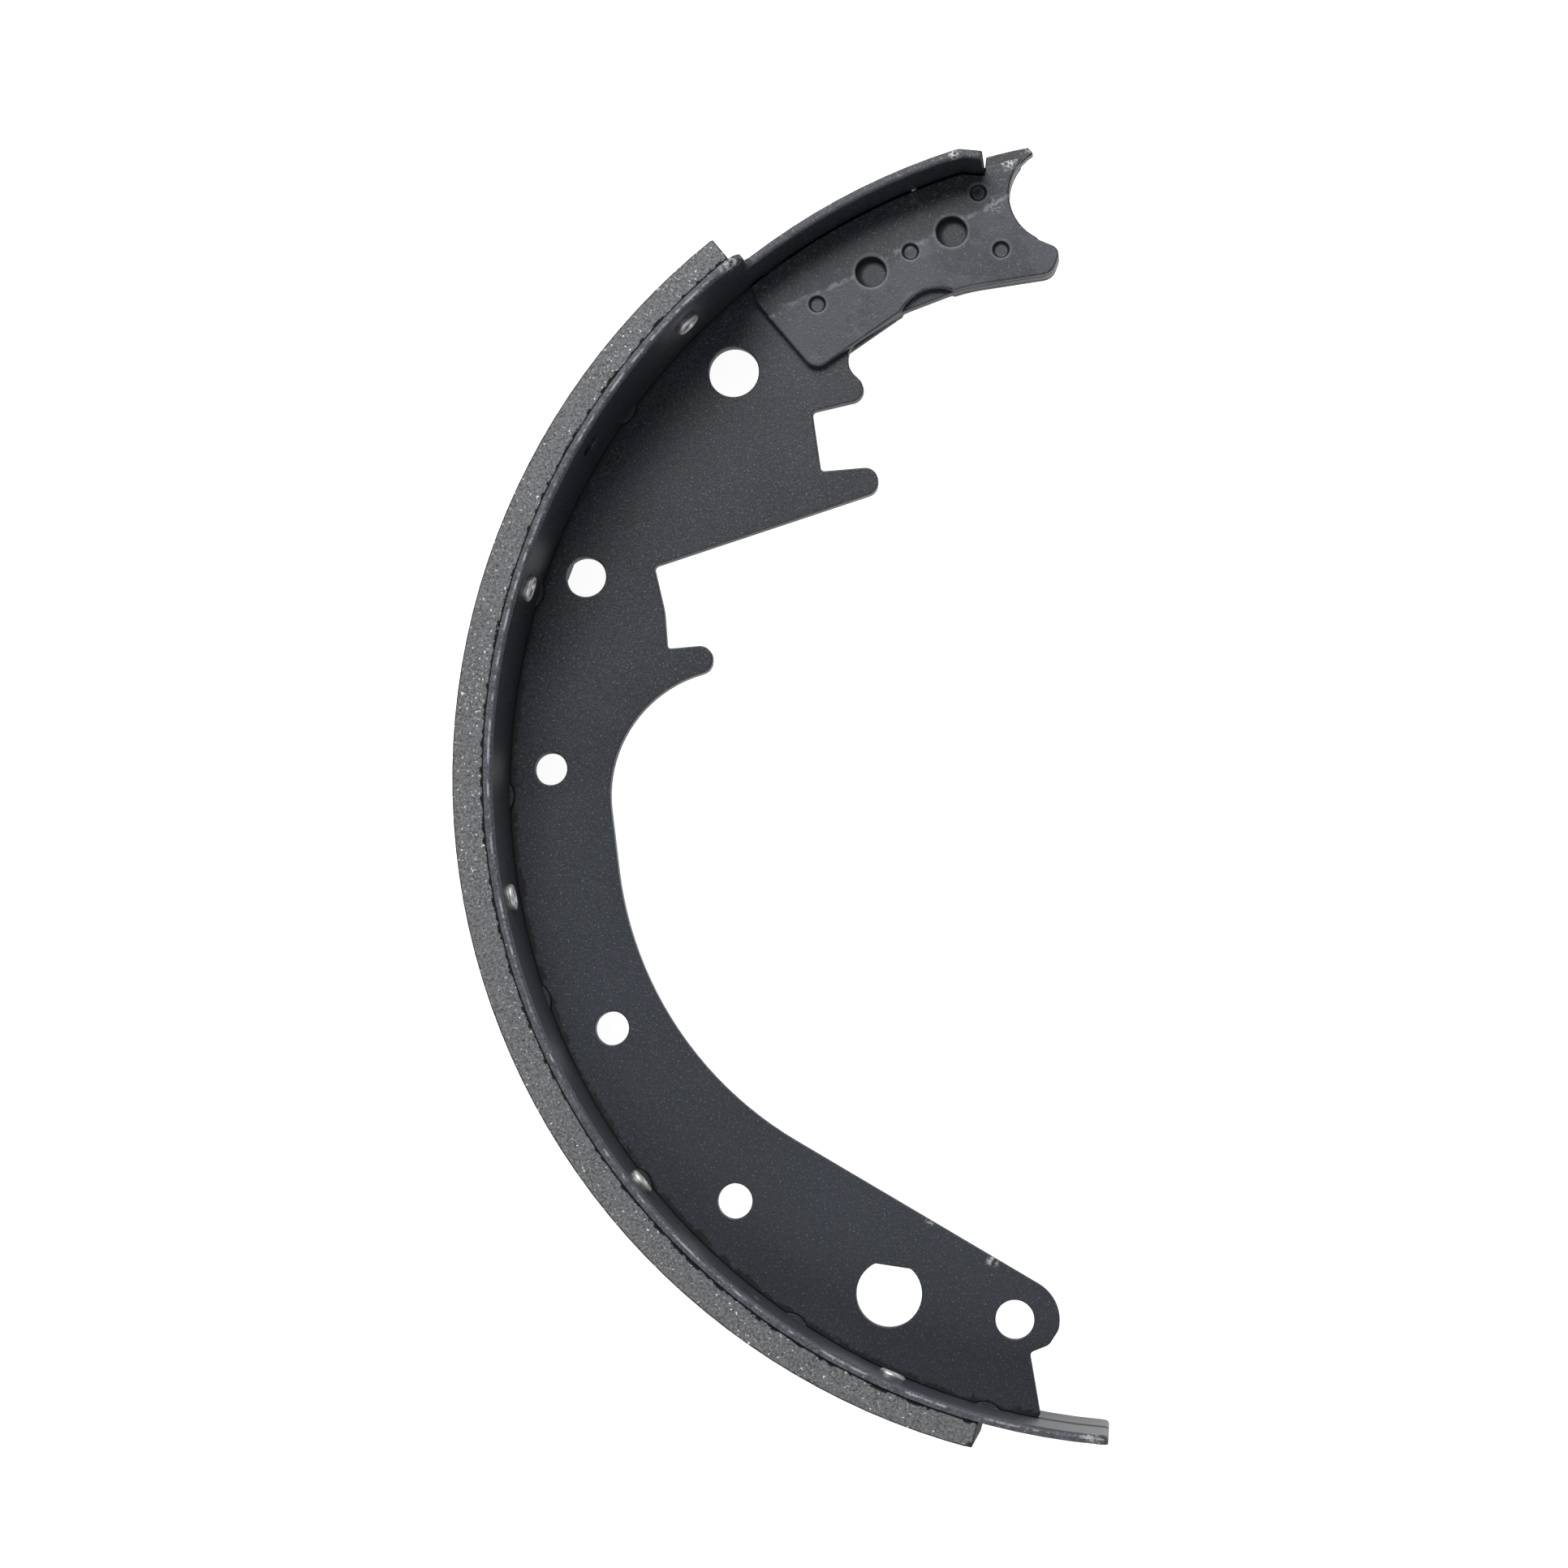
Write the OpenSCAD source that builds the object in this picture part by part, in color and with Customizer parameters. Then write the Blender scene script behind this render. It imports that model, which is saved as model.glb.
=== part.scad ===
// Riveted drum brake shoe lying on its side: rolled steel table welded to a
// stamped web, a reinforcing plate on each side of the anchor end, and a friction
// lining held by semi-tubular rivets. The web lies in the XY plane and Z runs
// across the shoe. Angles are taken about the axis of the drum: 0 points to -X
// and positive turns towards the anchor end.

/* [Table] */
// Outer radius of the rolled table, where the lining sits
table_r = 134.8; // [133:0.1:138]
// Thickness of the table's sheet
table_t = 1.9; // [1.5:0.1:2.5]
// Full width of the table, across the shoe
table_w = 50.8; // [46:0.2:56]
// Angle where the full width ends, at the anchor end
table_head_deg = 52; // [51.6:0.1:55]
// Angle of the table's tail, at the adjuster end
table_tail_deg = -85.9; // [-88:0.1:-83]
// Radius of the two corners at the head of the full width
head_corner_r = 4.5; // [2:0.5:6]
// Radius of the two corners at the tail
tail_corner_r = 2; // [1:0.5:5]
// Width of the narrow tab that runs on over the anchor end
tab_w = 29.3; // [24:0.1:36]
// Fillet where the tab leaves the full width
tab_root_r = 2.5; // [1:0.5:4]
// Angle where the tab is bent inwards
tab_bend_at_deg = 73.2; // [72.5:0.1:74]
// How far the tab's lip is bent inwards
lip_bend_deg = 23; // [15:1:26]
// Inside radius of that bend
lip_bend_r = 0.8; // [0.6:0.1:1]
// Length of the flat lip after the bend
lip_l = 4.5; // [3:0.1:4.8]
// Radius of the lip's two corners
lip_corner_r = 0.8; // [0.5:0.1:3]

/* [Weld projections] */
// Angle of the projection nearest the anchor end
weld_first_deg = 54; // [53:0.5:55]
// Angle from one projection to the next
weld_pitch_deg = 18.45; // [16:0.05:18.6]
// Number of projections along the table
weld_count = 8; // [2:1:8]
// Length of a projection along the table and its width across it
weld_w = 5.2; // [4:0.1:6]
// Height of a projection
weld_h = 0.9; // [0.4:0.1:1.2]
// Width of the slit that lances the sheet
slit_w = 0.5; // [0.3:0.1:0.8]
// Depth of the half-moon slits in the table's outer face
moon_slit_depth = 0.8; // [0.4:0.1:1.2]
// Angle of the cut end of the square tongue in the tab
tongue_deg = 69; // [68:0.1:70]
// Width of the tongue's window
tongue_window_w = 5.3; // [4.5:0.1:6.5]
// Length of the tongue's window
tongue_window_l = 6.4; // [5:0.1:8]
// Gap at the tongue's free end
tongue_gap = 1.1; // [0.6:0.1:1.6]

/* [Web] */
// Thickness of the stamped web
web_t = 3; // [2.4:0.1:4]
// Width of the web's band behind the lining
web_band_w = 21.2; // [19:0.1:24]
// Radius of the long inner sweep towards the adjuster end
sweep_r = 76; // [60:1:80]
// Radius of the short inner sweep below the lever notch
sweep_top_r = 26; // [18:1:26]
// Radius of the web's lobe at the adjuster end
adjuster_lobe_r = 8.5; // [6:0.5:8.5]
// Diameter of the lever pivot hole
lever_hole_d = 10.6; // [8:0.1:13]
// Diameters of the four holes in the web's band, from the anchor end down
band_hole_1_d = 8.4; // [5:0.1:10]
band_hole_2_d = 6.8; // [5:0.1:10]
band_hole_3_d = 7; // [5:0.1:10]
band_hole_4_d = 7.2; // [5:0.1:10]
// Diameter of the D-shaped hold-down hole
hold_down_d = 13.5; // [11.5:0.1:16]
// Distance from that hole's centre to its flat
hold_down_flat = 5.65; // [5:0.05:5.7]
// Diameter of the spring hole in the adjuster lobe
adjuster_hole_d = 7.9; // [6:0.1:10]
// Gap between the web and the end of the table's lip
lip_end_gap = 0.1; // [0.1:0.1:0.8]

/* [Notches] */
// Radius of the seat that rests on the anchor pin
anchor_seat_r = 10.4; // [9.8:0.05:10.8]
// Width of the strut notch at its floor
strut_notch_w = 12.9; // [11:0.1:14]
// Depth of the strut notch
strut_notch_depth = 11.6; // [9:0.1:13]
// Slope of each of the strut notch's two walls
strut_notch_flare_deg = 4.2; // [0:0.1:8]
// Width of the lug above the strut notch
strut_lug_upper_w = 3.7; // [3.6:0.1:5]
// Width of the lug below the strut notch
strut_lug_lower_w = 5.3; // [5.2:0.1:7]
// Width of the lever notch along its floor
lever_notch_w = 17.6; // [15:0.1:19]
// Length of the lug below the lever notch
lever_lug_l = 9.8; // [8:0.1:12]
// Width of the lug below the lever notch
lever_lug_w = 5.4; // [5.3:0.1:7]

/* [Anchor plates] */
// Thickness of each reinforcing plate
plate_t = 1.8; // [1.5:0.1:2.6]
// Gap between the plates and the table
plate_gap = 0.4; // [0.3:0.05:0.5]
// Diameter of the two locating holes in each plate
plate_hole_d = 6.3; // [4:0.1:7]
// Diameter of the weld dimples in each plate
dimple_d = 3.2; // [2:0.1:4]
// Depth of the weld dimples
dimple_depth = 1; // [0.5:0.1:1.3]
// Radius of the shallow relief in each plate's inner edge
plate_relief_r = 8.55; // [8:0.05:9.5]

/* [Lining] */
// How far each side of the lining stays inside the table's edge
lining_inset = 0.4; // [0.2:0.1:3]
// Thickness of the lining at its middle
lining_t = 6.4; // [5.6:0.1:8]
// Thickness of the lining at its two ends
lining_end_t = 5.25; // [4.9:0.05:5.5]
// Angle of the lining's end towards the anchor
lining_head_deg = 50.9; // [49:0.1:51.4]
// Angle of the lining's end towards the adjuster
lining_tail_deg = -74.9; // [-76:0.1:-73]

/* [Rivets] */
// Diameter of the rivet's shank
rivet_d = 4.76; // [4:0.02:5.2]
// Clearance around the shank, on the radius
rivet_clearance = 0.08; // [0.04:0.02:0.2]
// Diameter of the rivet's head
rivet_head_d = 7.9; // [7:0.1:8.2]
// Thickness of the rivet's head
rivet_head_t = 1.1; // [0.8:0.1:1.6]
// Diameter of the counterbore in the lining
counterbore_d = 8.8; // [8.4:0.1:10]
// Lining left under the rivet's head
rivet_land = 2.3; // [1.8:0.1:3]
// Bore in the rivet's clinched end
rivet_bore_d = 3.1; // [2.4:0.1:3.3]
// Depth of that bore
rivet_bore_depth = 4.5; // [3:0.1:5]
// Radius of the rolled clinch
clinch_r = 0.6; // [0.5:0.05:0.9]
// Distance between the two rivets of a row, across the shoe
rivet_spacing = 33.3; // [28:0.1:36]
// Angle of the row of rivets nearest the anchor end
rivet_first_deg = 44.6; // [43.5:0.1:45.5]
// Angle from one row of rivets to the next
rivet_pitch_deg = 27.8; // [26:0.1:28]

/* [Hidden] */
$fn = 72;
arc_fn = 360;
cut_over = 1;

table_in_r = table_r - table_t;
bend_thinning = 0.02;
bend_root_deg = 4;
rivet_rows = 5;
// Each end row has a spare row of holes half a pitch further in, for a shorter lining
spare_rows = [0.5, 3.5];
half_moon_r = weld_w / 2;
weld_r = (pow(half_moon_r, 2) + pow(weld_h, 2)) / (2 * weld_h);
// Centre of a stamped corner's arc, as a share of its radius: the arc meets the two
// sides at a slight angle
corner_centre = 0.98;

// The lining's outer face is a circle a little smaller than the drum and set off
// from the table's centre, so that the lining thins evenly towards its ends
lining_mid_deg = (lining_head_deg + lining_tail_deg) / 2;
lining_half_deg = (lining_head_deg - lining_tail_deg) / 2;
lining_w = table_w - 2 * lining_inset;
lining_mid_r = table_r + lining_t;
lining_end_r = table_r + lining_end_t;
lining_offset = (pow(lining_mid_r, 2) - pow(lining_end_r, 2))
  / (2 * (lining_mid_r - lining_end_r * cos(lining_half_deg)));
lining_face_r = lining_mid_r - lining_offset;

// Middle of the whole shoe seen from above, which is where the origin lies
horn_cut = polar(0.5, 80.2);
horn_cut_deg = 50;
lining_centre = lining_offset * dir(lining_mid_deg);
box_left = lining_centre[0] - lining_face_r;
box_right = -table_in_r * cos(table_tail_deg);
box_low = lining_end_r * sin(lining_tail_deg);
box_high = horn_top_y();
origin_shift = [-(box_left + box_right) / 2, -(box_low + box_high) / 2, table_w / 2];

// Unit vector at an angle of the shoe
function dir(deg) = [-cos(deg), sin(deg)];

// Point a distance inside the table's inner face, at an angle of the shoe
function polar(inset, deg) = (table_in_r - inset) * dir(deg);

// Corner of an outline: a point and the radius that rounds it
function corner(inset, deg, r = 0) = concat(polar(inset, deg), r);

// Corner given in a frame with its own origin and turn
function local_corner(origin, deg, u, v, r = 0) = [
  origin[0] + u * cos(deg) - v * sin(deg),
  origin[1] + u * sin(deg) + v * cos(deg),
  r
];

function unit(v) = v / norm(v);
function xy(p) = [p[0], p[1]];
function arc_steps(r, sweep) = max(2, ceil(sweep * sqrt(r) / 20));

// Points of the arc that rounds corner c between its neighbours a and b
function corner_arc(a, c, b) =
  let (
    to_a = unit(xy(a) - xy(c)),
    to_b = unit(xy(b) - xy(c)),
    half = acos(to_a * to_b) / 2,
    centre = xy(c) + unit(to_a + to_b) * c[2] / sin(half),
    start = xy(c) + to_a * c[2] / tan(half) - centre,
    end = xy(c) + to_b * c[2] / tan(half) - centre,
    turn = sign(start[0] * end[1] - start[1] * end[0]),
    sweep = 180 - 2 * half,
    from = atan2(start[1], start[0]),
    steps = arc_steps(c[2], sweep)
  )
  [for (i = [0:steps])
    let (a = from + turn * sweep * i / steps)
    centre + c[2] * [cos(a), sin(a)]];

// Outline through a list of corners, each rounded by its own radius
function rounded(corners) =
  let (n = len(corners))
  [for (i = [0:n - 1])
    let (c = corners[i])
    each c[2] == 0
      ? [xy(c)]
      : corner_arc(corners[(i + n - 1) % n], c, corners[(i + 1) % n])];

// Height at which the horn's slanted end meets the table's outer radius
function horn_top_y() =
  let (
    along = [-cos(horn_cut_deg), sin(horn_cut_deg)],
    b = horn_cut * along,
    s = -b + sqrt(b * b + table_r * table_r - horn_cut * horn_cut)
  )
  horn_cut[1] + s * along[1];

function weld_deg(i) = weld_first_deg - i * weld_pitch_deg;
function rivet_deg(row) = rivet_first_deg - row * rivet_pitch_deg;

// Moves a child from the axis of the drum to its place in the shoe
module place() translate(origin_shift) children();

// Turns a child so that its X axis points outwards at an angle of the shoe
module radial(deg, z = 0) translate([0, 0, z]) rotate([0, 0, 180 - deg]) children();

// Radial prism between two radii: the child's X runs along the table towards the
// anchor end and its Y runs along Z
module radial_prism(deg, r_from, r_to)
  radial(deg)
    translate([r_from, 0, 0])
      mirror([0, 1, 0])
        rotate([90, 0, 90])
          linear_extrude(r_to - r_from) children();

// What is cut away to round a square corner that lies at the origin
module corner_waste(r) {
  centre = corner_centre * r;
  difference() {
    translate([-cut_over, -cut_over]) square(centre + cut_over);
    translate([centre, centre]) circle(r);
  }
}

// Sector of a ring between two radii and two angles of the shoe
module ring_sector(r_in, r_out, w, deg_from, deg_to)
  rotate([0, 0, 180 - deg_to])
    rotate_extrude(angle = deg_to - deg_from, $fn = arc_fn)
      translate([r_in, -w / 2]) square([r_out - r_in, w]);

// Frame of the lip: its origin is the centre of the bend and its X axis points out
// through the lip, square to it
module lip_frame()
  translate((table_in_r - lip_bend_r) * dir(tab_bend_at_deg))
    rotate([0, 0, 180 - tab_bend_at_deg - lip_bend_deg]) children();

// The bent end of the table, as wide as the sheet before its sides are trimmed. The
// bend thins the sheet a little and starts a few degrees inside the rolled part
module lip() lip_frame() {
  lip_in = lip_bend_r + bend_thinning;
  lip_t = table_t - 2 * bend_thinning;
  rotate_extrude(angle = lip_bend_deg + bend_root_deg)
    translate([lip_in, -table_w / 2]) square([lip_t, table_w]);
  translate([lip_in, -lip_l, -table_w / 2]) cube([lip_t, lip_l, table_w]);
}

module lip_corners() lip_frame()
  for (side = [0, 1]) mirror([0, 0, side])
    translate([lip_bend_r - cut_over, -lip_l, -tab_w / 2])
      rotate([90, 0, 90])
        linear_extrude(table_t + 2 * cut_over) corner_waste(lip_corner_r);

// Space that the lip takes and all that lies beyond it, grown by a gap
module lip_space(gap) lip_frame()
  translate([lip_bend_r - gap, -lip_l - lip_end_gap, -table_w / 2])
    cube([table_t * 5, lip_l + lip_end_gap + 2 * lip_bend_r, table_w]);

// Material beside the tab, beyond the shoulder of the full width
module beside_tab() {
  length = table_r;
  outside = table_w / 2 - tab_w / 2 + cut_over;
  radial_prism(table_head_deg, table_in_r * 0.7, table_r + 2 * cut_over) {
    for (side = [0, 1]) mirror([0, side]) {
      translate([0, tab_w / 2]) difference() {
        square([length, outside]);
        corner_waste(tab_root_r);
      }
      translate([0, table_w / 2]) mirror([1, 0]) mirror([0, 1])
        corner_waste(head_corner_r);
    }
  }
}

module tail_corners()
  radial_prism(table_tail_deg, table_in_r - cut_over, table_r + cut_over)
    for (side = [0, 1]) mirror([0, side])
      translate([0, -table_w / 2]) corner_waste(tail_corner_r);

// Pair of radial holes through the table, for one row of rivets
module rivet_holes(deg)
  for (side = [-1, 1])
    radial(deg, side * rivet_spacing / 2)
      translate([table_in_r - cut_over, 0, 0])
        rotate([0, 90, 0])
          cylinder(d = rivet_d + 2 * rivet_clearance, h = table_t + 2 * cut_over);

// Half-round projection that rises from the table and sinks into the web's edge
module weld_projection(i)
  radial(weld_deg(i)) translate([table_in_r + weld_r - weld_h, 0, 0])
    cylinder(r = weld_r, h = weld_w, center = true);

// Half-moon slit in the outer face, its round side towards the anchor end
module moon_slit(i)
  radial_prism(weld_deg(i), table_r - moon_slit_depth, table_r + cut_over)
    difference() {
      circle(half_moon_r);
      circle(half_moon_r - slit_w);
      translate([-2 * half_moon_r, -half_moon_r]) square(2 * half_moon_r);
    }

// Three-sided slit around the square tongue
module tongue_slit()
  radial_prism(tongue_deg, table_in_r - cut_over, table_r + cut_over)
    difference() {
      translate([-tongue_window_l, -tongue_window_w / 2])
        square([tongue_window_l, tongue_window_w]);
      translate([-tongue_window_l - cut_over, -tongue_window_w / 2 + slit_w])
        square([tongue_window_l + cut_over - tongue_gap, tongue_window_w - 2 * slit_w]);
    }

module table() color("dimgray") place() difference() {
  union() {
    ring_sector(table_in_r, table_r, table_w, table_tail_deg, tab_bend_at_deg);
    lip();
    for (i = [0:weld_count - 1]) intersection() {
      weld_projection(i);
      cylinder(r = table_in_r + table_t / 2, h = table_w, center = true, $fn = arc_fn);
    }
  }
  beside_tab();
  lip_corners();
  tail_corners();
  for (row = [0:rivet_rows - 1]) rivet_holes(rivet_deg(row));
  for (row = spare_rows) rivet_holes(rivet_deg(row));
  for (i = [0:weld_count - 1]) moon_slit(i);
  tongue_slit();
}

// Corners of the horn beyond the anchor seat
horn = [
  corner(-22, 73),
  local_corner(horn_cut, 180 - horn_cut_deg, 30, 0),
  concat(horn_cut, 0)
];
// Corners that the web and its plates share: the prong under the anchor seat and the
// inner edge after it
prong = [
  corner(18, 78.7),
  corner(21.1, 81, 2.1),
  corner(25.9, 79.6, 3.2),
  corner(23.4, 69.7, 36),
  corner(22.6, 62.8, 12)
];

strut_notch_at = polar(34.1, 45.85);
strut_notch_deg = 8.2;
strut_mouth_w = strut_notch_w + 2 * strut_notch_depth * tan(strut_notch_flare_deg);
lug_round_r = 2.7;
notch_corner_r = 0.9;

function strut_corner(u, v, r) = local_corner(strut_notch_at, strut_notch_deg, u, v, r);

strut_notch = [
  strut_corner(strut_notch_depth - 5.4, strut_mouth_w / 2 + strut_lug_upper_w + 6.5, 4.8),
  strut_corner(strut_notch_depth - 0.4, strut_mouth_w / 2 + strut_lug_upper_w, lug_round_r),
  strut_corner(strut_notch_depth, strut_mouth_w / 2, lug_round_r),
  strut_corner(0, strut_notch_w / 2, notch_corner_r),
  strut_corner(0, -strut_notch_w / 2, notch_corner_r),
  strut_corner(strut_notch_depth + 0.6, -strut_mouth_w / 2, lug_round_r),
  strut_corner(strut_notch_depth - 0.6, -strut_mouth_w / 2 - strut_lug_lower_w, lug_round_r)
];

lever_notch_at = polar(29.1, 15.4);
lever_notch_deg = 4.4;
lever_floor_r = 15;

function lever_corner(u, v, r) = local_corner(lever_notch_at, lever_notch_deg, u, v, r);

lever_notch = [
  lever_corner(-1.5, lever_notch_w, notch_corner_r),
  lever_corner(0, lever_notch_w * 0.45, lever_floor_r),
  lever_corner(0, 0, notch_corner_r),
  lever_corner(lever_lug_l, 0, lug_round_r),
  lever_corner(lever_lug_l - 0.8, -lever_lug_w, lug_round_r)
];
inner_sweep = [
  corner(web_band_w - 3.9, 8, sweep_top_r),
  corner(web_band_w - 7.5, -27.8, sweep_r)
];
adjuster_end = [
  corner(24.8, -80, adjuster_lobe_r),
  corner(18.3, -80.2, 3),
  corner(14.9, -79.5, 2.3),
  corner(12.6, -77.8, 0.9),
  corner(0.9, -79.8, 0.4),
  corner(-1.5, -79.2)
];
// Points outside the table, which the table's radius then trims
outside = [for (deg = [-75, -40, 0, 40]) corner(-50, deg)];

module web_outline()
  polygon(rounded(concat(
    horn, prong, strut_notch, lever_notch, inner_sweep, adjuster_end, outside
  )));

// Places in the web: distance inside the table's inner face, and angle
anchor_seat_at = [9.3, 81.7];
lever_hole_at = [11.2, 44.9];
band_hole_1_at = [8.1, 20.1];
band_hole_2_at = [8.5, 1.2];
band_hole_3_at = [10.3, -24.8];
band_hole_4_at = [10.8, -45.4];
hold_down_at = [14.1, -62.9];
hold_down_flat_deg = 81.4;
adjuster_hole_at = [18.4, -75.6];

module at(place) translate(polar(place[0], place[1])) children();

// Seat for the anchor pin, cut through the web and both plates
module anchor_seat()
  at(anchor_seat_at) cylinder(r = anchor_seat_r, h = table_w, center = true);

module web_hole(place, d)
  at(place) cylinder(d = d, h = web_t + 2 * cut_over, center = true);

module hold_down_hole()
  at(hold_down_at) difference() {
    cylinder(d = hold_down_d, h = web_t + 2 * cut_over, center = true);
    rotate([0, 0, hold_down_flat_deg])
      translate([hold_down_flat, -hold_down_d, -web_t])
        cube([hold_down_d, 2 * hold_down_d, 2 * web_t]);
  }

module web() color("darkslategray") place()
  difference() {
    intersection() {
      linear_extrude(web_t, center = true) web_outline();
      cylinder(r = table_r, h = web_t, center = true, $fn = arc_fn);
    }
    ring_sector(table_in_r, table_r + cut_over, table_w, -100, tab_bend_at_deg);
    lip_space(0);
    lip();
    anchor_seat();
    for (i = [0:weld_count - 1]) weld_projection(i);
    web_hole(lever_hole_at, lever_hole_d);
    web_hole(band_hole_1_at, band_hole_1_d);
    web_hole(band_hole_2_at, band_hole_2_d);
    web_hole(band_hole_3_at, band_hole_3_d);
    web_hole(band_hole_4_at, band_hole_4_d);
    web_hole(adjuster_hole_at, adjuster_hole_d);
    hold_down_hole();
  }

// Corners of the plate's end over the horn
plate_horn = [
  corner(-22, 75),
  corner(-22, 78.6),
  corner(2.4, 78.7)
];
// Corners of the plate's end over the strut notch
plate_end = [
  corner(23.1, 51, 3.2),
  corner(4.1, 50.9, 3),
  corner(-10, 53)
];
plate_relief_at = [29.4, 65.3];
plate_holes = [[11.5, 70.6], [12.2, 61.7]];
dimples = [[5.4, 74.2], [18.4, 74.8], [12.1, 66.1], [12, 55.5]];

// Plate that lies on the upper side of the web
module plate_on_top() difference() {
  translate([0, 0, web_t / 2]) intersection() {
    linear_extrude(plate_t) polygon(rounded(concat(plate_horn, prong, plate_end)));
    cylinder(r = table_in_r - plate_gap, h = plate_t, $fn = arc_fn);
  }
  lip_space(plate_gap);
  weld_projection(0);
  anchor_seat();
  at(plate_relief_at) cylinder(r = plate_relief_r, h = table_w, center = true);
  for (hole = plate_holes) at(hole) cylinder(d = plate_hole_d, h = table_w, center = true);
  for (dimple = dimples) at(dimple)
    translate([0, 0, web_t / 2 + plate_t - dimple_depth])
      cylinder(d = dimple_d, h = dimple_depth + cut_over);
}

module anchor_plate(lower) color("slategray") place() mirror([0, 0, lower]) plate_on_top();

// Hole and counterbore for one rivet, along the X axis
module lining_hole() {
  translate([table_r - cut_over, 0, 0]) rotate([0, 90, 0])
    cylinder(d = rivet_d + 2 * rivet_clearance, h = rivet_land + 2 * cut_over);
  translate([table_r + rivet_land, 0, 0]) rotate([0, 90, 0])
    cylinder(d = counterbore_d, h = lining_t + cut_over);
}

module lining() color("gray") place()
  difference() {
    intersection() {
      translate(lining_centre)
        cylinder(r = lining_face_r, h = lining_w, center = true, $fn = arc_fn);
      ring_sector(table_r, table_r + 2 * lining_t, lining_w + 2 * cut_over,
        lining_tail_deg, lining_head_deg);
    }
    for (row = [0:rivet_rows - 1], side = [-1, 1])
      radial(rivet_deg(row), side * rivet_spacing / 2) lining_hole();
  }

// Semi-tubular rivet along the X axis: head outwards, rolled clinch on the table
module rivet() {
  head_from = table_r + rivet_land;
  clinch_at = table_in_r - clinch_r;
  clinch_mid = rivet_bore_d / 2 + clinch_r;
  foot_from = (rivet_d - clinch_r) / 2;
  foot_to = clinch_mid + 0.8 * clinch_r;
  head_edge = rivet_head_t / 5;
  rotate([0, 90, 0]) rotate_extrude() difference() {
    union() {
      translate([0, head_from])
        square([rivet_head_d / 2, rivet_head_t - head_edge]);
      translate([0, head_from])
        square([rivet_head_d / 2 - head_edge, rivet_head_t]);
      translate([0, clinch_at]) square([rivet_d / 2, head_from - clinch_at]);
      translate([clinch_mid, clinch_at]) circle(clinch_r);
      translate([foot_from, clinch_at]) square([foot_to - foot_from, clinch_r]);
    }
    translate([-cut_over, clinch_at - 2 * clinch_r])
      square([rivet_bore_d / 2 + cut_over, rivet_bore_depth]);
  }
}

module placed_rivet(row, side) color("silver") place()
  radial(rivet_deg(row), side * rivet_spacing / 2) rivet();

web();
table();
anchor_plate(0);  // anchor_plate_upper
anchor_plate(1);  // anchor_plate_lower
lining();
for (row = [0:rivet_rows - 1]) {
  placed_rivet(row, 1);
  placed_rivet(row, -1);
}
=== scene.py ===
"""Looks of the brake shoe: softened and worn painted steel, moulded lining, zinc rivets."""

import math

import bpy
from mathutils import Matrix, Vector


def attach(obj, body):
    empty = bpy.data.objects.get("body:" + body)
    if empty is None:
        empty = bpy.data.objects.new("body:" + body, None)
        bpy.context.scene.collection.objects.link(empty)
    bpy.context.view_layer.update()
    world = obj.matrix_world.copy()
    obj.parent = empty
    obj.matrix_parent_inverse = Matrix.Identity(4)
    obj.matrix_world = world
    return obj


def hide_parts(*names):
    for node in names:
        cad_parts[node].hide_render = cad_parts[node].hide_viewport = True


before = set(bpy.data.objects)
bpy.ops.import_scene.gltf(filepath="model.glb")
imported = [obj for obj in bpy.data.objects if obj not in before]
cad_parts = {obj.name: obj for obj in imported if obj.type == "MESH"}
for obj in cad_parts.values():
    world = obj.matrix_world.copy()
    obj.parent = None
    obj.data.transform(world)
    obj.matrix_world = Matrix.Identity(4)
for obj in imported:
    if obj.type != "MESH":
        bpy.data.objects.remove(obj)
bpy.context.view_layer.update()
bpy.ops.object.select_all(action="DESELECT")

MM = 0.001
# Centre of the drum's circle and height of the web's middle, as in the frame
ARC_X, ARC_Y, MID_Z = 75.328 * MM, 1.313 * MM, 25.4 * MM
# Sizes of the table and places of the rivets in mm and degrees, as in the frame
TABLE_IN_R = 132.9
TABLE_HALF_W, TAB_HALF_W = 25.4, 14.65
TAB_FROM_DEG, TAIL_DEG = 51.5, -85.9
RIVET_ROWS = [44.6 - 27.8 * row for row in range(5)]
RIVET_HALF_SPACING = 16.65


def at(radius, degrees, height=0.0):
    """Point at a radius in mm and an angle round the drum's axis, height mm over the web."""
    turn = math.radians(degrees)
    return Vector((
        ARC_X - radius * MM * math.cos(turn),
        ARC_Y + radius * MM * math.sin(turn),
        MID_Z + height * MM,
    ))


# Finishes


class Wire:
    """An output of a finish's nodes. Sums and products written with it add Math nodes."""

    def __init__(self, finish, socket):
        self.finish = finish
        self.socket = socket

    def math(self, operation, *values):
        return self.finish.node(
            "ShaderNodeMath", {"operation": operation}, dict(enumerate(values))
        )

    def __add__(self, other):
        return self.math("ADD", self, other)

    def __sub__(self, other):
        return self.math("SUBTRACT", self, other)

    def __rsub__(self, other):
        return self.math("SUBTRACT", other, self)

    def __mul__(self, other):
        return self.math("MULTIPLY", self, other)

    def __or__(self, other):
        return self.math("MAXIMUM", self, other)

    __radd__ = __add__
    __rmul__ = __mul__

    def size(self):
        return self.math("ABSOLUTE", self)

    def between(self, low, high):
        """0 up to low, 1 from high on, and a smooth step between them."""
        return self.finish.node(
            "ShaderNodeMapRange",
            {"interpolation_type": "SMOOTHSTEP"},
            {0: self, 1: low, 2: high},
        )


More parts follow.
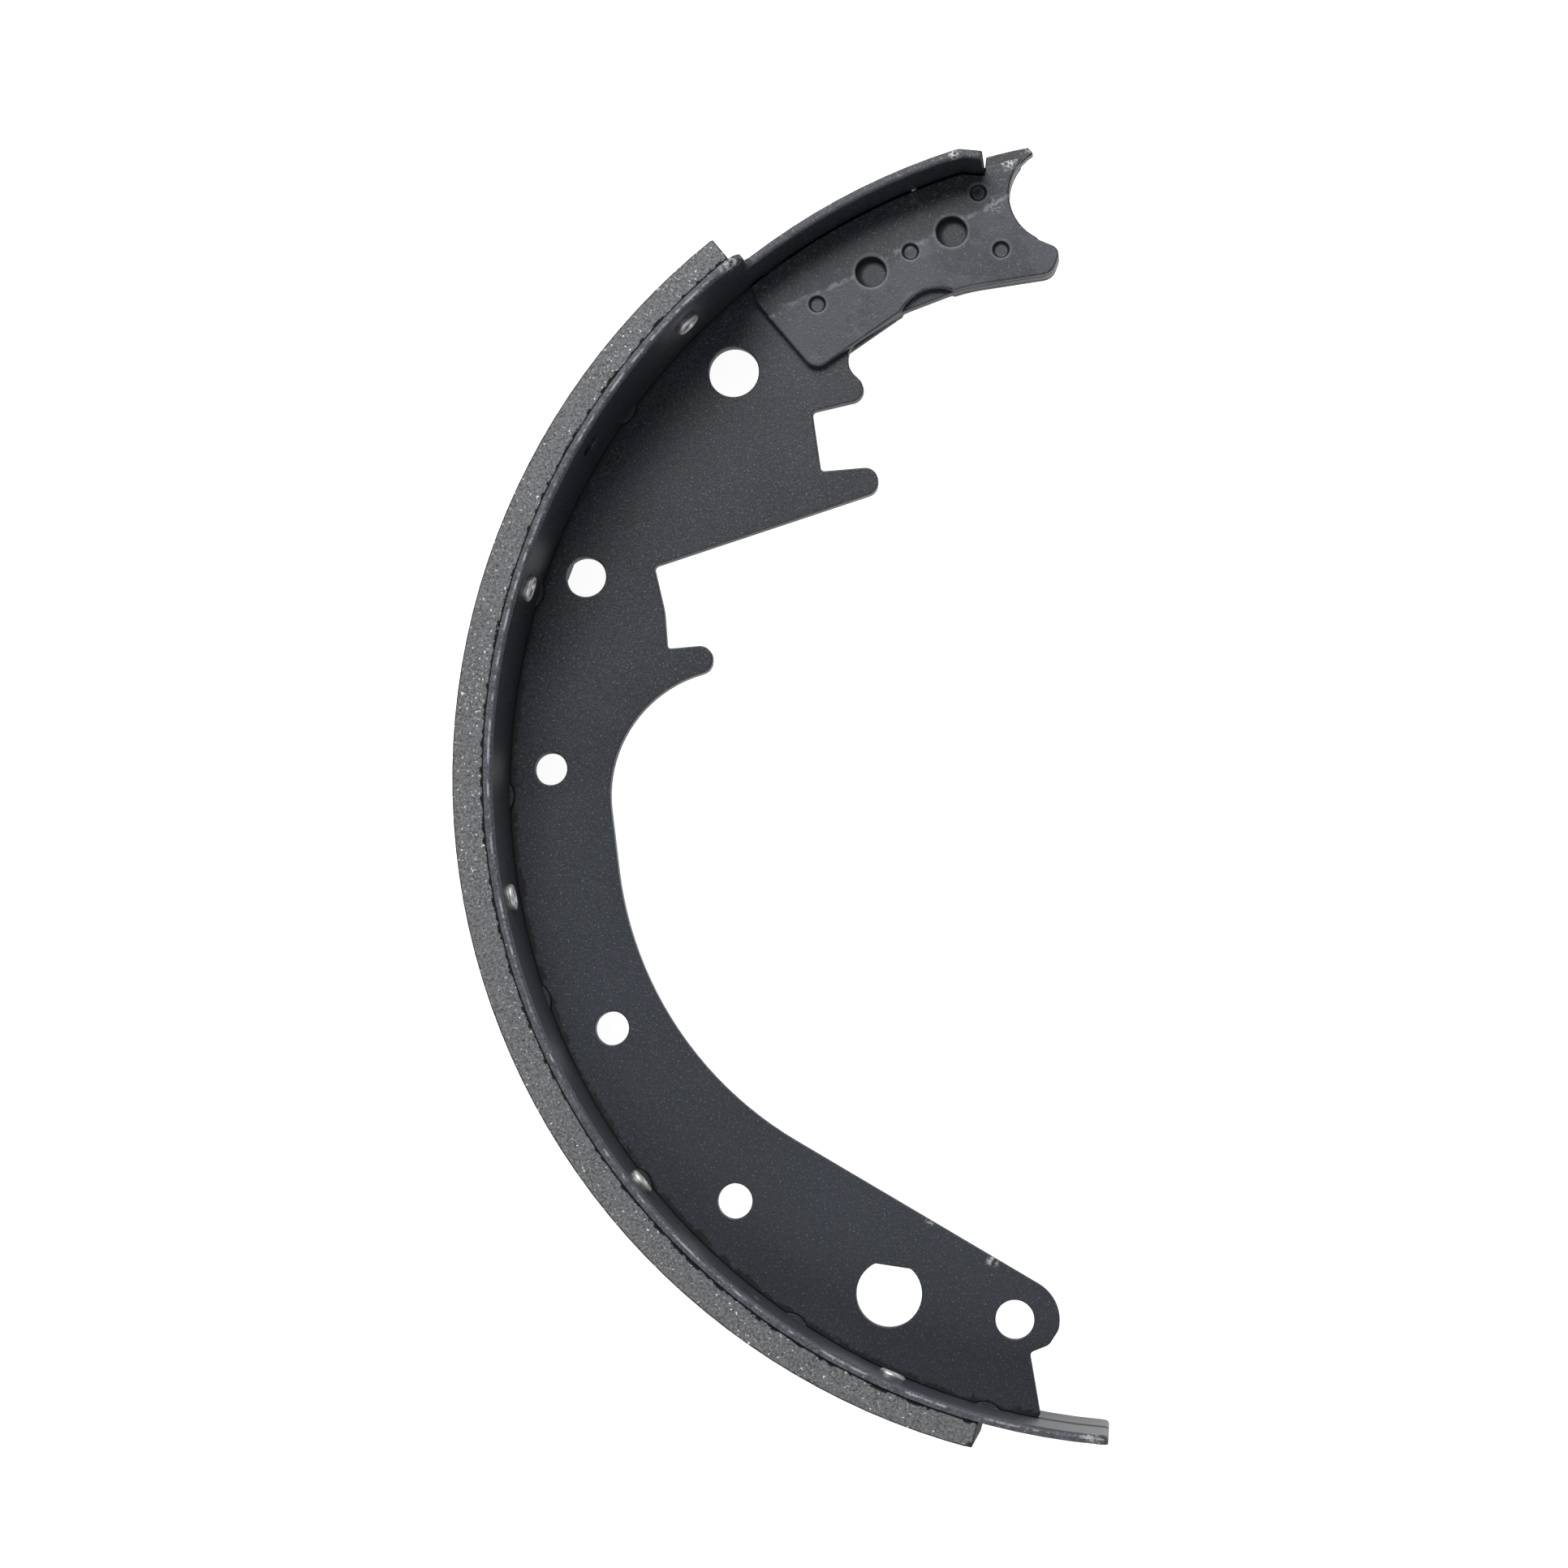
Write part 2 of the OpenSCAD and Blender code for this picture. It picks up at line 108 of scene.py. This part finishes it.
class Finish:
    """A material, and the ways in which its nodes are made."""

    def __init__(self, name):
        self.material = bpy.data.materials.new(name)
        self.material.use_nodes = True
        self.tree = self.material.node_tree
        self.shader = self.tree.nodes["Principled BSDF"]
        self.place = self.node("ShaderNodeTexCoord", output="Object")

    def node(self, kind, settings=None, values=None, output=0):
        made = self.tree.nodes.new(kind)
        for name, setting in (settings or {}).items():
            setattr(made, name, setting)
        self.fill(made, values or {})
        return Wire(self, made.outputs[output])

    def fill(self, made, values):
        for key, value in values.items():
            if isinstance(value, Wire):
                self.tree.links.new(value.socket, made.inputs[key])
            else:
                made.inputs[key].default_value = value

    def axes(self):
        """Place along X and Y from the drum's axis and along Z from the web's middle, in mm."""
        spot = self.node(
            "ShaderNodeVectorMath",
            {"operation": "SUBTRACT"},
            {0: self.place, 1: (ARC_X, ARC_Y, MID_Z)},
        )
        return [
            self.node("ShaderNodeSeparateXYZ", values={0: spot}, output=axis) * (1 / MM)
            for axis in "XYZ"
        ]

    def length(self, along, across):
        """Distance made by two distances at right angles."""
        square = along * along + across * across
        return square.math("SQRT", square)

    def noise(self, size, detail=2.0, roughness=0.5):
        """Cloudy noise whose lumps are about size mm across."""
        return self.node(
            "ShaderNodeTexNoise",
            values={
                "Vector": self.place,
                "Scale": 1 / (size * MM),
                "Detail": detail,
                "Roughness": roughness,
            },
        )

    def mix(self, factor, first, second):
        """Colour first where factor is 0 and second where it is 1."""
        return self.node(
            "ShaderNodeMix", {"data_type": "RGBA"}, {0: factor, 6: first, 7: second}, 2
        )

    def near(self, point, reach):
        """1 at a point, falling to 0 at a distance of reach mm."""
        distance = self.node(
            "ShaderNodeVectorMath",
            {"operation": "DISTANCE"},
            {0: self.place, 1: point},
            "Value",
        )
        return 1 - distance.between(0.2 * reach * MM, reach * MM)

    def bump(self, height, depth, strength=1.0):
        """Normal of a surface that rises by height, from 0 to 1, times depth mm."""
        return self.node(
            "ShaderNodeBump",
            values={"Strength": strength, "Distance": depth * MM, "Height": height},
            output="Normal",
        )

    def finish(self, **values):
        """Sets the shader's own inputs, whose names have underscores here for spaces."""
        self.fill(self.shader, {k.replace("_", " "): v for k, v in values.items()})
        return self.material


def grey(level, blue=1.0):
    """Grey of a linear level whose blue is blue times as bright as its red."""
    return (level, level * (1 + (blue - 1) / 3), level * blue, 1)


# The paint, its painted light, painted glints and painted shade, and the bare steel that shows
# through it
PAINT_DARK, PAINT_LIGHT, PAINT_LIT_PALE = grey(0.003, 1.6), grey(0.027, 1.6), grey(0.055, 1.35)
PEEL_GLINT, SHADE_BLACK, BARE_STEEL = grey(0.13, 1.4), grey(0.003), grey(0.55, 1.04)
PAINT_ROUGH, SHADE_ROUGH = 0.42, 0.4
PEEL_DEPTH = 0.02
# The table's sheared edges, dark to light, and the specks and rubbed places on them
SHORN_DARK, SHORN_LIGHT = grey(0.04, 1.3), grey(0.105, 1.25)
SHORN_SPECK, SHORN_RUBBED, RUBBED_R = grey(0.5), grey(0.42, 1.1), 133.75

# Places where the paint is rubbed or chipped: point, reach in mm, strength
WEB_SCUFFS = [
    (at(134.0, 79.3, 1.5), 1.6, 0.7),
    (at(101.5, -63.5, 1.5), 1.6, 0.8),
    (at(104.3, -71.6, 1.5), 1.8, 0.8),
]
PLATE_SCUFFS = [
    (at(132.2, 77.6, 3.3), 2.6, 1.0),
    (at(124.0, 75.4, 3.3), 3.0, 0.3),
]
TABLE_SCUFFS = [
    (at(133.0, 50.8, 25.4), 4.0, 0.7),
    (at(134.0, 73.0, 14.6), 2.0, 1.0),
    (at(134.2, -84.4, 25.4), 3.2, 0.7),
    (at(134.8, 71.0, -9.0), 9.0, 0.15),
]
# Holes and dimples of a plate: radius from the drum's axis, angle, own radius
PLATE_HOLES = [(121.4, 70.6, 3.15), (120.7, 61.7, 3.15)]
DIMPLES = [(127.5, 74.2, 1.6), (114.5, 74.8, 1.6), (120.8, 66.1, 1.6), (120.9, 55.5, 1.6)]
# Weld projections of the table: angle of the first, angle to the next, centre and radius
WELD_DEG, WELD_PITCH, WELD_CENTRE, WELD_R = 54.0, 18.45, 136.2, 4.2
# The edge of the wall's shadow, painted on a plate as a line: a point on the line and its
# direction
SHADOW_EDGE_X, SHADOW_EDGE_Y, SHADOW_EDGE_TURN = -77.2, 97.5, math.radians(26.4)


class Paint(Finish):
    """Black dip paint with a fine orange peel, told by tone, depth of relief and roughness."""

    def __init__(self, name):
        super().__init__(name)
        self.x, self.y, self.z = self.axes()
        self.radius = self.length(self.x, self.y)
        self.turn = self.y.math("ARCTAN2", self.y, self.x * -1) * (180 / math.pi)
        peel = self.noise(0.3, 1, 0.4)
        cloud = self.noise(24, 3).between(0.3, 0.7)
        self.tone = self.mix(
            cloud * 0.3 + peel.between(0.38, 0.62) * 0.7, PAINT_DARK, PAINT_LIGHT
        )
        # Painted light, paler towards the adjuster end: this only matches the photo's levels along
        # the shoe
        self.cover((1 - self.y.between(-115, 60)) * 0.45, PAINT_LIT_PALE)
        # Painted glints of the orange peel, as fine pale specks
        self.cover(self.noise(0.42, 1, 0.5).between(0.62, 0.74) * 0.8, PEEL_GLINT)
        self.depth = peel + self.noise(0.9, 2) * 0.5
        self.rough = PAINT_ROUGH

    def cover(self, factor, colour):
        """Lays a colour over the paint where factor is 1."""
        self.tone = self.mix(factor, self.tone, colour)

    def blacken(self, factor):
        """Painted shade, black and rougher, where factor is 1."""
        self.cover(factor, SHADE_BLACK)
        self.rough = factor * SHADE_ROUGH + self.rough

    def ring(self, radius, degrees, size, low, high):
        """Round a spot of radius size: 0 inside low times its size, 1 beyond high times."""
        spot = at(radius, degrees)
        across = self.x - (spot.x - ARC_X) / MM
        along = self.y - (spot.y - ARC_Y) / MM
        return self.length(across, along).between(low * size, high * size)

    def disc(self, radius, degrees, size, low, high):
        """The other way round: 1 inside low times its size, 0 beyond high times."""
        return 1 - self.ring(radius, degrees, size, low, high)

    def weld_outline(self):
        """1 on the ragged outlines of the weld projections, none of which is past WELD_DEG."""
        step = self.turn.math("WRAP", self.turn - WELD_DEG, WELD_PITCH / 2, -WELD_PITCH / 2)
        off = self.length(step * (math.radians(1) * TABLE_IN_R), self.radius - WELD_CENTRE)
        off = off - WELD_R + (self.noise(1.2, 3, 0.6) - 0.5) * 1.2
        not_past = 1 - self.turn.between(WELD_DEG + 3, WELD_DEG + 4)
        return (1 - off.size().between(0.1, 0.5)) * not_past

    def worn(self, scuffs):
        """The finished paint, with bare and chipped places."""
        patch = self.noise(0.8, 5, 0.7).between(0.47, 0.58)
        for point, reach, strength in scuffs:
            self.cover(self.near(point, reach) * patch * strength, BARE_STEEL)
        return self.finish(
            Base_Color=self.tone,
            Roughness=self.rough,
            Normal=self.bump(self.depth, PEEL_DEPTH),
        )


def web_paint(name):
    """Paint of the web, with painted shade along its joint with the table and its weld projections
    and in the plates' holes.
    """
    paint = Paint(name)
    ragged = paint.radius + (paint.noise(2.0, 4, 0.7) - 0.5) * 5
    below_horn = 1 - paint.turn.between(72, 74)
    joint_shade = ragged.between(TABLE_IN_R - 1.5, TABLE_IN_R - 0.7) * below_horn
    # Painted shade along the joint with the table and round the weld projections
    paint.blacken((joint_shade | paint.weld_outline()) * 0.9)
    # Painted shade inside each plate's hole, deepest towards one side
    for radius, degrees, size in PLATE_HOLES:
        inside = paint.disc(radius, degrees, size, 1.2, 1.3)
        paint.blacken(inside * paint.ring(radius - 0.7, degrees + 0.15, size, 0.62, 0.98))
    return paint.worn(WEB_SCUFFS)


def plate_paint(name):
    """Paint of a plate, with painted light below a wavering line that stands for the edge of the
    wall's shadow, a pale painted streak along that line, and more relief below it.
    """
    paint = Paint(name)
    across = (paint.y - SHADOW_EDGE_Y) * math.cos(SHADOW_EDGE_TURN)
    across = across - (paint.x - SHADOW_EDGE_X) * math.sin(SHADOW_EDGE_TURN)
    across = across + (paint.noise(5, 3) - 0.5) * 3.2
    matt_and_lit = 1 - (across.between(-0.4, 0.5) | paint.noise(8, 3).between(0.5, 0.62) * 0.8)
    broken = paint.noise(2.2, 4, 0.7).between(0.42, 0.6)
    smears = paint.noise(6, 4, 0.65).between(0.56, 0.7)
    # Painted light below the shadow's edge and a pale painted streak along it
    paint.cover(matt_and_lit * 0.45, grey(0.06, 1.35))
    paint.cover((1 - across.size().between(0.1, 0.8)) * broken * 0.7, grey(0.18, 1.25))
    paint.cover(smears * 0.25, grey(0.13, 1.25))
    paint.depth = paint.depth * (0.4 + matt_and_lit * 0.9)
    # Painted highlights round the holes and the dimples, and painted shade on the holes' walls and
    # in the dimples' rims
    for hole in PLATE_HOLES:
        paint.cover(paint.disc(*hole, 1.12, 1.35) * 0.3, grey(0.2, 1.2))
        paint.blacken(paint.disc(*hole, 1.02, 1.06))
    for dimple in DIMPLES:
        rim = paint.ring(*dimple, 0.72, 0.95)
        paint.cover(rim * paint.disc(*dimple, 1.3, 1.6) * 0.3, grey(0.16, 1.2))
        paint.blacken(rim * paint.disc(*dimple, 1.05, 1.2))
    return paint.worn(PLATE_SCUFFS)


def table_paint(name):
    """Paint of the table, thin and speckled on the sheared edges of its sheet, with painted shade
    low on its inner wall.
    """
    paint = Paint(name)
    tall = paint.z.size()
    # Painted shade low on the inner wall, where it stands on the web
    foot_shade = (1 - tall.between(1.8, 3.6)) * (1 - paint.radius.between(133, 133.5))
    paint.blacken(foot_shade * 0.8)
    wide = tall.between(TABLE_HALF_W - 0.4, TABLE_HALF_W - 0.1)
    on_tab = paint.turn.between(TAB_FROM_DEG, TAB_FROM_DEG + 0.8)
    tab = tall.between(TAB_HALF_W - 0.3, TAB_HALF_W - 0.1) * on_tab * 0.55
    shorn = wide | tab | paint.turn.math("LESS_THAN", paint.turn, TAIL_DEG + 0.1)
    mottle = paint.noise(0.7, 3, 0.6)
    paint.cover(shorn * 0.9, paint.mix(mottle.between(0.3, 0.7), SHORN_DARK, SHORN_LIGHT))
    paint.cover(shorn * paint.noise(0.42, 2, 0.6).between(0.66, 0.72), SHORN_SPECK)
    rubbed = 1 - (paint.radius - RUBBED_R).size().between(0.06, 0.3)
    rubbed = rubbed * tall.between(TABLE_HALF_W - 0.5, TABLE_HALF_W - 0.3)
    paint.cover(rubbed * paint.noise(5, 4, 0.7).between(0.48, 0.6) * 0.7, SHORN_RUBBED)
    paint.depth = paint.depth + shorn * mottle * 1.5
    paint.rough = paint.rough + shorn * 0.14
    return paint.worn(TABLE_SCUFFS)


def moulded_lining(name, shade=1.0):
    """Friction material: grey, with irregular bright flecks, dark pits and a sanded grain."""
    lining = Finish(name)
    x, y, _ = lining.axes()
    grain = lining.noise(0.5, 4, 0.7)
    lumps = lining.noise(2.2, 3, 0.6)
    tone = lining.mix(
        grain.between(0.32, 0.68), grey(0.055 * shade, 1.05), grey(0.225 * shade, 1.05)
    )
    tone = lining.mix(lumps.between(0.35, 0.7) * 0.4, tone, grey(0.165 * shade, 1.06))
    many = lining.noise(13, 2).between(0.35, 0.65) * 0.04 + y.between(-60, 110) * 0.012
    shine = (lining.noise(0.72, 2, 0.6) + many).between(0.665, 0.71)
    tone = lining.mix(shine * lining.noise(1.3, 2).between(0.3, 0.6), tone, grey(0.85, 0.98))
    pits = 1 - lining.noise(0.7, 3, 0.6).between(0.29, 0.34)
    tone = lining.mix(pits * 0.85, tone, grey(0.015))
    # Painted shade: a dark broken line in the gap where the lining meets the table
    dashes = lining.noise(2.0, 3, 0.65).between(0.46, 0.64) * 0.5
    joint_shade = 1 - (lining.length(x, y) - dashes).between(134.95, 135.15)
    tone = lining.mix(joint_shade, tone, grey(0.004))
    return lining.finish(
        Base_Color=tone,
        Roughness=0.88 - shine * 0.4,
        Specular_IOR_Level=0.35,
        Normal=lining.bump(grain * 0.7 + lumps * 0.5 - pits, 0.12, 0.8),
    )


def zinc(name):
    """Bright zinc plate, a little clouded, with a fine grain."""
    plate = Finish(name)
    cloud = plate.noise(1.6, 4, 0.6)
    fine = plate.noise(0.12, 3)
    tone = plate.mix(cloud.between(0.35, 0.7), grey(0.46, 1.0), grey(0.78, 0.99))
    return plate.finish(
        Base_Color=tone,
        Metallic=1.0,
        Roughness=0.44 + cloud * 0.16 + fine * 0.06,
        Normal=plate.bump(fine + cloud, 0.012),
    )


WEB_PAINT = web_paint("web_paint")
PLATE_PAINT = plate_paint("plate_paint")
TABLE_PAINT = table_paint("table_paint")
LINING = moulded_lining("moulded_lining")
# A darker copy, painted shade on the lining's rounded edges and in its chips
LINING_SHADED_EDGE = moulded_lining("moulded_lining_shaded_edge", 0.4)
ZINC = zinc("zinc_plate")


# Modelling

# Corners closer than this many mm are one, faces that meet at less than FLAT_DEG are
# one, and edges sharper than SHARP_DEG are rounded
SAME_CORNER, FLAT_DEG, SHARP_DEG = 0.03, 0.3, 32


def pick(piece):
    """Makes a piece the only one selected, and the active one."""
    bpy.ops.object.select_all(action="DESELECT")
    piece.select_set(True)
    bpy.context.view_layer.objects.active = piece


def edit(piece):
    pick(piece)
    bpy.ops.object.mode_set(mode="EDIT")


def leave():
    bpy.ops.object.mode_set(mode="OBJECT")


def apply(piece, kind, **settings):
    """Adds a modifier, sets it and applies it."""
    pick(piece)
    made = piece.modifiers.new(kind.lower(), kind)
    for name, setting in settings.items():
        setattr(made, name, setting)
    bpy.ops.object.modifier_apply(modifier=made.name)


def merged_copy(node, name, *materials):
    """Copy of a CAD node with its own mesh, its corners merged and flat faces made whole."""
    piece = bpy.data.objects.new(name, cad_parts[node].data.copy())
    bpy.context.scene.collection.objects.link(piece)
    piece.data.materials.clear()
    for material in materials:
        piece.data.materials.append(material)
    pick(piece)
    bpy.ops.mesh.customdata_custom_splitnormals_clear()
    edit(piece)
    bpy.ops.mesh.select_all(action="SELECT")
    bpy.ops.mesh.remove_doubles(threshold=SAME_CORNER * MM)
    bpy.ops.mesh.dissolve_limited(angle_limit=math.radians(FLAT_DEG))
    leave()
    return piece


def soften(piece, width, segments=3, **settings):
    """Rounds a piece's edges by width mm."""
    limits = {"limit_method": "ANGLE", "angle_limit": math.radians(SHARP_DEG)}
    apply(
        piece,
        "BEVEL",
        width=width * MM,
        segments=segments,
        use_clamp_overlap=False,
        **{**limits, **settings},
    )


def smooth(piece, sharper_than=40):
    """Shades a piece smooth, apart from edges sharper than that many degrees."""
    pick(piece)
    bpy.ops.object.shade_smooth_by_angle(angle=math.radians(sharper_than))
    apply(piece, "WEIGHTED_NORMAL", keep_sharp=True)


def finish_piece(piece, slot, *nodes):
    """Hands a piece to the frame: what it moves with and what it replaces. Its slot is not used.
    """
    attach(piece, "root")
    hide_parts(*nodes)


def pressed_part(node, material, width):
    """A pressed or sheared steel part in black paint, its edges softened by width mm."""
    piece = merged_copy(node, node + "_painted", material)
    soften(piece, width)
    smooth(piece)
    finish_piece(piece, "black_paint", node)


WEB_EDGE, PLATE_EDGE = 0.28, 0.45
pressed_part("web", WEB_PAINT, WEB_EDGE)
for side in ("upper", "lower"):
    pressed_part("anchor_plate_" + side, PLATE_PAINT, PLATE_EDGE)

# The table: shearing has rolled the inner edges of its sheet over and left the outer
# ones sharp. Long edges lie higher than LONG_EDGE mm from the web's middle, the tab's
# higher than TAB_EDGE mm, and a face looks inwards from FACES_IN on
ROLLED, ROLLED_TAB, CRISP = 1.0, 0.7, 0.2
LONG_EDGE, TAB_EDGE, FACES_IN = 20, 5, 0.9
table = merged_copy("table", "table_painted", TABLE_PAINT)
sides = {}
for face in table.data.polygons:
    for key in face.edge_keys:
        sides.setdefault(key, []).append(face.normal)
weights = table.data.attributes.new("bevel_weight_edge", "FLOAT", "EDGE")
for edge in table.data.edges:
    first, second = sides[edge.key]
    if first.angle(second) < math.radians(SHARP_DEG):
        continue
    start, end = [table.data.vertices[corner].co for corner in edge.vertices]
    spot = (start + end) / 2 - Vector((ARC_X, ARC_Y, MID_Z))
    degrees = math.degrees(math.atan2(spot.y, -spot.x))
    inward = Vector((-spot.x, -spot.y, 0)).normalized()
    inner = max(first.dot(inward), second.dot(inward)) > FACES_IN
    height = abs(spot.z) / MM
    on_tail = degrees < TAIL_DEG + 1
    on_tab = degrees > TAB_FROM_DEG and height > TAB_EDGE
    width = CRISP
    if inner and height > LONG_EDGE:
        width = ROLLED
    elif inner and (on_tail or on_tab):
        width = ROLLED_TAB
    weights.data[edge.index].value = width / ROLLED
soften(table, ROLLED, segments=4, limit_method="WEIGHT")
smooth(table)
finish_piece(table, "black_paint", "table")

# The lining, with chips broken off its corners: point, radius in mm
LINING_CORNER, CHIP_ROUGHNESS = 0.3, 0.14
lining = merged_copy("lining", "lining_moulded", LINING, LINING_SHADED_EDGE)
soften(lining, LINING_CORNER, material=1)
CHIPS = [
    (at(140.3, -74.9, 24.9), 1.5), (at(137.2, -75.0, 25.4), 0.7), (at(140.4, 50.9, 25.2), 0.9),
    (at(135.0, -42.0, 25.3), 0.6), (at(135.0, 12.5, 25.3), 0.7), (at(141.1, -20.5, 25.3), 0.5),
    (at(140.2, -74.9, -22.0), 1.1), (at(140.3, 50.9, -12.0), 0.8),
]
for count, (point, size) in enumerate(CHIPS):
    bpy.ops.mesh.primitive_ico_sphere_add(subdivisions=3, radius=size * MM, location=point)
    chip = bpy.context.active_object
    edit(chip)
    bpy.ops.mesh.select_all(action="SELECT")
    bpy.ops.transform.vertex_random(offset=CHIP_ROUGHNESS * size * MM, seed=count + 1)
    leave()
    chip.data.materials.append(LINING_SHADED_EDGE)
    apply(lining, "BOOLEAN", operation="DIFFERENCE", object=chip, solver="EXACT")
    bpy.data.objects.remove(chip)
smooth(lining)
finish_piece(lining, "friction_lining", "lining")


def turned(name, rings, sides, material):
    """A piece turned about Z: one ring of corners after another, each (radius, height) in mm."""
    radius, height = rings[0]
    bpy.ops.mesh.primitive_circle_add(
        vertices=sides, radius=radius * MM, location=(0, 0, height * MM)
    )
    piece = bpy.context.active_object
    piece.name = name
    edit(piece)
    bpy.ops.mesh.select_all(action="SELECT")
    bpy.ops.mesh.edge_face_add()
    for next_radius, next_height in rings[1:]:
        bpy.ops.mesh.extrude_region_move(
            TRANSFORM_OT_translate={"value": (0, 0, (next_height - height) * MM)}
        )
        share = next_radius / radius
        bpy.ops.transform.resize(
            value=(share, share, 1), center_override=(0, 0, next_height * MM)
        )
        radius, height = next_radius, next_height
    bpy.ops.mesh.select_all(action="SELECT")
    bpy.ops.mesh.normals_make_consistent(inside=False)
    leave()
    bpy.ops.object.transform_apply(location=True, rotation=True, scale=True)
    piece.data.materials.append(material)
    return piece


# Rings of a rivet that stands on the drum's axis, from the end of its bore round its
# rolled end on the table, up its shank and over its head: radius, height
ROLL_R, ROLL_MIDDLE, ROLL_HEIGHT, ROLL_FROM, ROLL_SWEEP, ROLL_STEPS = 0.6, 2.15, 132.3, 180, 217, 8
BORE = [(0.2, 135.55), (1.3, 135.0), (1.55, 134.6)]
ROLL = []
for step in range(ROLL_STEPS + 1):
    bend = math.radians(ROLL_FROM + ROLL_SWEEP * step / ROLL_STEPS)
    ROLL.append((ROLL_MIDDLE + ROLL_R * math.cos(bend), ROLL_HEIGHT + ROLL_R * math.sin(bend)))
SHANK = [(2.62, 132.88), (2.38, 132.95), (2.38, 137.1)]
HEAD = [
    (3.83, 137.1), (3.95, 137.22), (3.95, 137.95), (3.88, 138.12), (3.7, 138.2), (3.1, 138.2),
    (2.95, 138.13), (0.3, 138.1),
]
# Each rivet is turned in its hole by this much more than the one before, in radians
RIVET_TWIST = 1.1

rivet = turned("rivet", BORE + ROLL + SHANK + HEAD, 48, ZINC)
for row, degrees in enumerate(RIVET_ROWS, 1):
    for side, sign in (("upper", 1), ("lower", -1)):
        node = f"rivet_{side}_{row}"
        piece = bpy.data.objects.new(node + "_zinc", rivet.data.copy())
        bpy.context.scene.collection.objects.link(piece)
        outward = at(1, degrees) - at(0, degrees)
        turn = outward.to_track_quat("Z", "Y").to_matrix().to_4x4()
        move = Matrix.Translation(at(0, degrees, sign * RIVET_HALF_SPACING))
        piece.data.transform(move @ turn @ Matrix.Rotation(RIVET_TWIST * row * sign, 4, "Z"))
        smooth(piece, 50)
        finish_piece(piece, "rivet_steel", node)
bpy.data.objects.remove(rivet)


# Floor, light and camera

# The floor's breadth in metres and how far it lies under the shoe in mm
FLOOR_BREADTH, FLOOR_GAP = 6, 0.1
# Levels of the floor's own colour, of its glow to the camera and of the world's light
FLOOR_LEVEL, FLOOR_GLOW, WORLD_LEVEL = 0.75, 0.93, 0.19
# Share of the floor's glow that shows in reflections, which keeps the shoe's edges dark
GLOSSY_SHARE = 0.5
WHITE = (1, 1, 1, 1)

bpy.ops.mesh.primitive_plane_add(size=FLOOR_BREADTH, location=(0, 0, -FLOOR_GAP * MM))
floor = bpy.context.active_object
floor.name = "floor"
ground = Finish("white_floor")
seen = ground.node("ShaderNodeLightPath", output="Is Camera Ray") | (
    ground.node("ShaderNodeLightPath", output="Is Glossy Ray") * GLOSSY_SHARE
    | ground.node("ShaderNodeLightPath", output="Is Transmission Ray")
)
floor.data.materials.append(
    ground.finish(
        Base_Color=grey(FLOOR_LEVEL),
        Roughness=1.0,
        Specular_IOR_Level=0.0,
        Emission_Color=WHITE,
        Emission_Strength=seen * FLOOR_GLOW,
    )
)

world = bpy.data.worlds.new("studio")
bpy.context.scene.world = world
world.use_nodes = True
sky = world.node_tree
plain = sky.nodes["Background"]
plain.inputs["Color"].default_value = WHITE
plain.inputs["Strength"].default_value = WORLD_LEVEL
white = sky.nodes.new("ShaderNodeBackground")
white.inputs["Color"].default_value = WHITE
rays = sky.nodes.new("ShaderNodeLightPath")
choice = sky.nodes.new("ShaderNodeMixShader")
sky.links.new(rays.outputs["Is Camera Ray"], choice.inputs[0])
sky.links.new(plain.outputs[0], choice.inputs[1])
sky.links.new(white.outputs[0], choice.inputs[2])
sky.links.new(choice.outputs[0], sky.nodes["World Output"].inputs["Surface"])


def aimed(eye, target, up):
    """Matrix of something at eye that looks at target, with up towards the top of its view."""
    back = (eye - target).normalized()
    right = up.cross(back).normalized()
    turn = Matrix((right, back.cross(right), back)).transposed()
    return Matrix.Translation(eye) @ turn.to_4x4()


def softbox(name, azimuth, off_zenith, distance, size, power):
    """A square lamp aimed at the shoe, in degrees, metres and watts.

    Azimuth counts from +X towards +Y.
    """
    lamp = bpy.data.lights.new(name, "AREA")
    lamp.shape = "SQUARE"
    lamp.size = size
    lamp.energy = power
    box = bpy.data.objects.new(name, lamp)
    bpy.context.scene.collection.objects.link(box)
    turn, tilt = math.radians(azimuth), math.radians(off_zenith)
    eye = distance * Vector(
        (math.sin(tilt) * math.cos(turn), math.sin(tilt) * math.sin(turn), math.cos(tilt))
    )
    box.matrix_world = aimed(eye, Vector((0, 0, MID_Z)), Vector((0.01, 1, 0.02)))


softbox("back_softbox", 98, 42, 0.95, 0.5, 8.4)
softbox("front_softbox", -80, 44, 1.3, 0.6, 5.2)

# The camera stands where the photograph's did and looks at the middle of the shoe
EYE, TARGET = Vector((68.9, -79.1, 832.4)) * MM, Vector((0, 0, 30)) * MM
camera = bpy.data.cameras.new("camera")
camera.lens = 90
view = bpy.data.objects.new("camera", camera)
bpy.context.scene.collection.objects.link(view)
view.matrix_world = aimed(EYE, TARGET, Vector((0, 1, 0)))
bpy.context.scene.camera = view
bpy.context.scene.view_settings.view_transform = "Standard"
